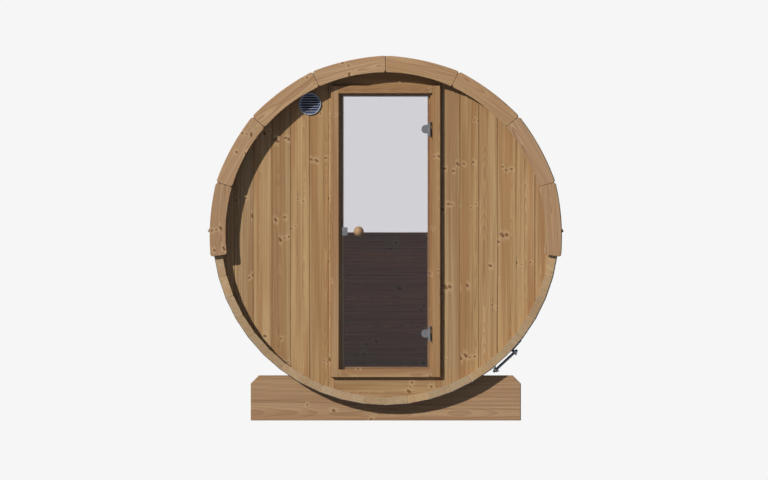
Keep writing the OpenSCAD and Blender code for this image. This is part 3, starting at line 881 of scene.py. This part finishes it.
PLANKS, PLANK_GAP = 7, 4 * MM
deck_low, deck_high = low("floor_deck"), high("floor_deck")
deck = Piece()
width = deck_high.x - deck_low.x
cuts = [(Vector((deck_low.x + width * k / PLANKS, 0, 0)), X) for k in range(1, PLANKS)]
for plank in cut_between(cad_solids("floor_deck")[0], cuts, PLANK_GAP):
    ease(tidy(plank), 2.0 * MM, 2)
    deck.add(plank, Y, X, end_slot=1)
deck.make("floor_planks", "building", [floor_wood, stave_end], ["floor_deck"])
eased_piece(
    "floor_bearers", "floor_joists", "building", floor_wood, X, Z, width=1.5 * MM, angle=30,
)

# ---------------------------------------------------------------- straps and turnbuckles
for node in ("front_strap", "rear_strap"):
    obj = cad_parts[node]
    obj.data.materials.clear()
    obj.data.materials.append(strap_steel)

TURN = math.radians(47.1)  # below the level, where the turnbuckles sit
STRAP_R = (high("front_strap").z - axis_z) * CORNER
STRAP_W = high("front_strap").y - low("front_strap").y
ROD_R, ROD_LEN, ROD_STAND = 7.5 * MM, 188 * MM, 16.5 * MM
PITCH, THREAD_DEPTH, ROD_CHAMFER, CHAMFER_SLOPE = 2.6 * MM, 1.15 * MM, 1.6 * MM, 0.9
LUG_SPACING, LUG_H, LUG_W, LUG_T, LUG_CORNER = 138 * MM, 38 * MM, 30 * MM, 5 * MM, 7 * MM
FOLD_LEN, FOLD_T, FOLD_MARGIN = 79 * MM, 4.5 * MM, 2 * MM
NUT_FLAT, NUT_T = 24 * MM, 10 * MM
WASHER_IN, WASHER_R, WASHER_T = 8 * MM, 14.5 * MM, 1.8 * MM


def threaded_rod(centre, axis, side, length, per_turn=6, segments=16):
    """A rod with a real helical thread and chamfered ends."""
    bm = bmesh.new()
    other = axis.cross(side)
    steps = round(length / PITCH * per_turn)
    rings = []
    for i in range(steps + 1):
        h = -length / 2 + length * i / steps
        ring = []
        for k, (a, b) in enumerate(circle(1.0, segments)):
            phase = (h / PITCH - k / segments) % 1.0
            r = ROD_R - THREAD_DEPTH * (1 - abs(2 * phase - 1))
            r = min(r, ROD_R - ROD_CHAMFER + (length / 2 - abs(h)) * CHAMFER_SLOPE)
            ring.append(bm.verts.new(centre + axis * h + (side * a + other * b) * r))
        rings.append(ring)
    return skin(bm, rings)


def ring_outline(flat, start, end):
    """Points of the barrel's many-sided outline at a distance from the axis, between two angles."""
    angles = [start] + [k * STEP for k in range(-STAVES, STAVES) if start < k * STEP < end] + [end]
    out = []
    for a in angles:
        r = flat / math.cos(a % STEP - STEP / 2)
        out.append((r * math.cos(a), r * math.sin(a)))
    return out


def hex_nut(centre, axis, side):
    """A nut centred there, with one corner towards side."""
    other = axis.cross(side)
    outline = circle(NUT_FLAT / 2 / math.cos(math.pi / 6), 6)
    nut = prism(outline, axis, -NUT_T / 2, NUT_T / 2, lambda a, b: centre + side * a + other * b)
    return ease(nut, 1.1 * MM, 2)


washer = [  # (radius, height) pairs
    (WASHER_IN, 0), (WASHER_R - 0.5 * MM, 0), (WASHER_R, 0.4 * MM), (WASHER_R, WASHER_T - 0.2 * MM),
    (WASHER_IN, WASHER_T),
]
for end in ("front", "rear"):
    node = f"{end}_turnbuckle"
    y_mid = (low(node).y + high(node).y) / 2
    out, run = radial(-TURN), around(-TURN)
    centre = AXIS + out * (STRAP_R + ROD_STAND) + Y * y_mid
    lug_turn = math.asin(LUG_SPACING / 2 / (STRAP_R + ROD_STAND))
    piece = Piece()
    piece.add(threaded_rod(centre, run, out, ROD_LEN), run, out)
    for s in (-1, 1):
        lug_out, lug_run = radial(-TURN + s * lug_turn), around(-TURN + s * lug_turn)
        foot = AXIS + lug_out * (STRAP_R + 0.1 * MM) + Y * y_mid
        half = LUG_W / 2
        shape = [(0, -half), (LUG_H, -half), (LUG_H, half), (0, half)]
        lug = prism(shape, lug_run, -LUG_T / 2, LUG_T / 2, lambda a, b: foot + lug_out * a + Y * b)
        ease(
            lug, LUG_CORNER, 4, along=lug_run,
            test=lambda e: (e.verts[0].co - foot).dot(lug_out) > LUG_H / 2,
        )
        ease(lug, 0.7 * MM, 1, angle=50)
        piece.add(lug, lug_out, Y)
        washer_at = centre + run * s * (LUG_SPACING + LUG_T) / 2
        piece.add(lathe(washer, washer_at, run * s, out, 32), run, out, slot=1)
        nut_at = centre + run * s * ((LUG_SPACING + LUG_T + NUT_T) / 2 + WASHER_T)
        piece.add(hex_nut(nut_at, run, out), run, out, slot=1)
    fold_from = lug_turn - TURN + LUG_T / 2 / STRAP_R
    fold_to = fold_from + FOLD_LEN / STRAP_R
    outline = ring_outline(STRAP_R, fold_from, fold_to)
    outline += ring_outline(STRAP_R + FOLD_T, fold_from, fold_to)[::-1]
    half = STRAP_W / 2 - FOLD_MARGIN
    fold = prism(outline, Y, y_mid - half, y_mid + half, lambda a, b: AXIS + X * a + Z * b)
    piece.add(ease(fold, 0.8 * MM, 2, angle=50), run, Y)
    piece.make(f"tension_rod_{end}", "building", [rod_steel, hinge_steel], [node], smooth=40)

# ---------------------------------------------------------------- vent
RIM_W, TUBE_T, COLLAR_H = 7 * MM, 2 * MM, 3 * MM
LOUVRE_PITCH, LOUVRE_SHIFT, LOUVRES = 14.5 * MM, -2.5 * MM, 9
LOUVRE_SLOPE, LOUVRE_BACK = math.tan(math.radians(38)), 13 * MM
BLADE_T, LIP_T = 1.6 * MM, 1.6 * MM  # a sloping blade, and the upright lip along its front
vent = Piece()
face = wall_front - 0.05 * MM  # the flange's back, a hair off the boards
depth, tube_end = face - vent_low.y, face - vent_high.y
rim_in, tube = vent_r - RIM_W, vent_hole_r - 0.5 * MM
vent_axis = Vector((vent_centre.x, face, vent_centre.z))
rim = [
    (rim_in, 0), (vent_r - 0.6 * MM, 0), (vent_r, 0.8 * MM), (vent_r, depth - 3.2 * MM),
    (vent_r - 0.5 * MM, depth - 1.6 * MM), (vent_r - 1.6 * MM, depth - 0.5 * MM),
    (vent_r - 3.2 * MM, depth), (vent_r - 4.6 * MM, depth - 0.4 * MM),
    (rim_in + 0.6 * MM, depth - 1.6 * MM), (rim_in, depth - 3.4 * MM),
]
vent.add(lathe(rim, vent_axis, -Y, X, 96), Z, X)
collar = [
    (tube - TUBE_T, tube_end), (tube, tube_end), (tube, 0), (rim_in + 0.3 * MM, 0),
    (rim_in + 0.3 * MM, COLLAR_H), (tube - TUBE_T, COLLAR_H),
]
# the tube takes the darker paint, which paints the shade inside it
vent.add(lathe(collar, vent_axis, -Y, X, 96), Z, X, slot=1)


def inside_vent(bm):
    """What of a bar lies inside the vent's tube and rim, and a little way into their walls."""
    back, step, front = -LOUVRE_BACK - 1 * MM, COLLAR_H - 0.4 * MM, depth - 0.8 * MM
    narrow, wide = tube - TUBE_T + 0.4 * MM, rim_in + 0.4 * MM
    outline = [(0, back), (narrow, back), (narrow, step), (wide, step), (wide, front), (0, front)]
    return cut_with(bm, lathe(outline, vent_axis, -Y, X, 64), "INTERSECT")


for i in range(LOUVRES):
    front = depth - 1.2 * MM
    z = (i - LOUVRES / 2) * LOUVRE_PITCH + LOUVRE_SHIFT - front * LOUVRE_SLOPE / 2
    back_z = z + (front + LOUVRE_BACK) * LOUVRE_SLOPE
    lip_back, lip_round = front - LIP_T, front - 0.6 * MM
    blade = [
        (-LOUVRE_BACK, back_z), (-LOUVRE_BACK, back_z - BLADE_T),
        (lip_back, z + 1.4 * MM - BLADE_T), (lip_back, z + 1.4 * MM),
    ]
    lip = [
        (lip_back, z - 1.6 * MM), (lip_round, z - 1.9 * MM), (front, z - 1.1 * MM),
        (front, z + 1.0 * MM), (lip_round, z + 1.8 * MM), (lip_back, z + 1.6 * MM),
    ]
    # the blades take the darker paint, painted shade between the louvres; the lips take the lighter one
    for outline, finish in ((blade, 1), (lip, 0)):
        bar = prism(
            outline, X, -vent_r, vent_r, lambda a, b: Vector((vent_axis.x, face - a, vent_axis.z + b))
        )
        bar = inside_vent(bar)
        if bar.verts:
            vent.add(bar, X, Z, slot=finish)
vent.make("vent_louvres", "building", [vent_paint, vent_painted_shade], ["wall_vent"], smooth=40)

# ---------------------------------------------------------------- glass
for node, name, body in (
    ("door_glass", "door_pane", "door"), ("rear_window", "rear_window_pane", "building"),
):
    eased_piece(node, name, body, clear_glass, Z, X, width=0.8 * MM, angle=50)

# ---------------------------------------------------------------- door fittings
for node, body in (
    ("door_clip_upper", "door"), ("door_clip_lower", "door"), ("door_latch", "door"),
    ("hinge_leaf_upper", "building"), ("hinge_leaf_lower", "building"),
):
    eased_piece(
        node, f"fitting_{node}", body, hinge_steel, Z, X,
        width=1.0 * MM, segments=2, angle=50, smooth=40,
    )

knob_low, knob_high = low("door_knob_outer"), high("door_knob_outer")
knob_x, knob_z = (knob_low.x + knob_high.x) / 2, (knob_low.z + knob_high.z) / 2
knob_r = (knob_high.x - knob_low.x) / 2
KNOB_NECK_R, KNOB_ARCS = 13 * MM, 18
for side, sign in (("outer", -1), ("inner", 1)):
    node = f"door_knob_{side}"
    near, far = low(node).y, high(node).y
    base_y = far if sign < 0 else near
    ball_h = far - near - knob_r
    profile = [  # foot and neck, then the ball
        (0, 0), (14.5 * MM, 0), (15 * MM, 0.8 * MM), (15 * MM, 2.4 * MM), (13.4 * MM, 3.6 * MM),
        (12.2 * MM, 6 * MM), (11.6 * MM, 9 * MM), (11.9 * MM, 12 * MM),
    ]
    start = math.asin(KNOB_NECK_R / knob_r)
    for k in range(KNOB_ARCS + 1):
        t = start + (math.pi - start) * k / KNOB_ARCS
        profile.append((knob_r * math.sin(t) if k < KNOB_ARCS else 0, ball_h - knob_r * math.cos(t)))
    knob = Piece()
    knob.add(  # the grain's middle lies a little off the knob's own
        lathe(profile, Vector((knob_x, base_y, knob_z)), Y * sign, X, 48), Y, X,
        Vector((knob_x - 4 * MM, base_y, knob_z - 3 * MM)), seed=(0.5, 0.05, 0.5),
    )
    knob.make(f"knob_turned_{side}", "door", knob_wood, [node], smooth=50)

# ---------------------------------------------------------------- stage, light and camera
BACKGROUND = linear(246, 246, 246)
FLOOR_COLOUR = (0.28, 0.32, 0.40)
FLOOR_HALF = 30.0
SKY_FILL = (0.090, 0.112, 0.156)
KEY, KEY_STRENGTH, KEY_ANGLE = Vector((0.593, 0.681, -0.429)), 3.78, 1.2
REAR, REAR_STRENGTH, REAR_ANGLE = Vector((-0.4, -1.0, -0.5)).normalized(), 1.4, 6.0
scene = bpy.context.scene
scene.view_settings.view_transform = "Standard"


def seen_directly(n):
    """1 for rays that show the background: camera, mirror and glass rays, but not after a diffuse one."""
    path = n.tree.nodes.new("ShaderNodeLightPath").outputs
    rays = n.plus(path["Is Camera Ray"], path["Is Glossy Ray"], clamp=True)
    rays = n.plus(rays, path["Is Transmission Ray"], clamp=True)
    return n.times(rays, n.math("LESS_THAN", path["Diffuse Depth"], 0.5))


world = bpy.data.worlds.new("studio")
scene.world = world
world.use_nodes = True
world.node_tree.nodes.clear()
sky = Tree(world.node_tree)
fill = sky.new("ShaderNodeBackground", None, {"Color": (*SKY_FILL, 1), "Strength": 1.0})
shown = sky.new("ShaderNodeBackground", None, {"Color": BACKGROUND, "Strength": 1.0})
choose = sky.new("ShaderNodeMixShader", None, {0: seen_directly(sky), 1: fill, 2: shown})
sky.put(sky.tree.nodes.new("ShaderNodeOutputWorld").inputs["Surface"], choose)


def sun(name, direction, strength, angle):
    """A lamp that shines in a direction, with an apparent size in degrees."""
    lamp = bpy.data.lights.new(name, "SUN")
    lamp.energy, lamp.angle = strength, math.radians(angle)
    lamp.cycles.use_multiple_importance_sampling = False
    obj = bpy.data.objects.new(name, lamp)
    scene.collection.objects.link(obj)
    obj.rotation_euler = direction.to_track_quat("-Z", "Y").to_euler()


sun("key", KEY, KEY_STRENGTH, KEY_ANGLE)
sun("rear", REAR, REAR_STRENGTH, REAR_ANGLE)

floor_mesh = bpy.data.meshes.new("studio_floor")
corners = [(a * FLOOR_HALF, b * FLOOR_HALF, 0) for a, b in ((-1, -1), (1, -1), (1, 1), (-1, 1))]
floor_mesh.from_pydata(corners, [], [(0, 1, 2, 3)])
floor = bpy.data.objects.new("studio_floor", floor_mesh)
scene.collection.objects.link(floor)
n = Nodes("studio_floor")
n.surface((*FLOOR_COLOUR, 1), 1.0, None, Specular_IOR_Level=0.0)
# the floor glows by what its own colour lacks of the background's, so only the shadows differ from it
lamps = (KEY_STRENGTH * -KEY.z + REAR_STRENGTH * -REAR.z) / math.pi
glow = [whole - albedo * (lamps + dim) for whole, albedo, dim in zip(BACKGROUND, FLOOR_COLOUR, SKY_FILL)]
glowing = n.new("ShaderNodeEmission", None, {"Color": (*glow, 1), "Strength": seen_directly(n)})
n.put(n.output.inputs["Surface"], n.new("ShaderNodeAddShader", None, {0: n.shader.outputs[0], 1: glowing}))
floor_mesh.materials.append(n.material)

# a parallel view: metres across the picture, and the place it is centred on
FRAME_WIDTH, VIEW_X, VIEW_Z, SHIFT = 4.47, -0.009, 1.0505, -0.012
TURN_VIEW, BACK_OFF = math.radians(0.1), 7.1
lens = bpy.data.cameras.new("camera")
lens.type, lens.ortho_scale, lens.shift_y = "ORTHO", FRAME_WIDTH, SHIFT
lens.clip_start, lens.clip_end = 0.1, 60.0
camera = bpy.data.objects.new("camera", lens)
scene.collection.objects.link(camera)
camera.location = (
    VIEW_X + BACK_OFF * math.sin(TURN_VIEW),
    -half_len - BACK_OFF * math.cos(TURN_VIEW),
    VIEW_Z - SHIFT * FRAME_WIDTH,
)
camera.rotation_euler = (math.pi / 2, 0, TURN_VIEW)
scene.camera = camera
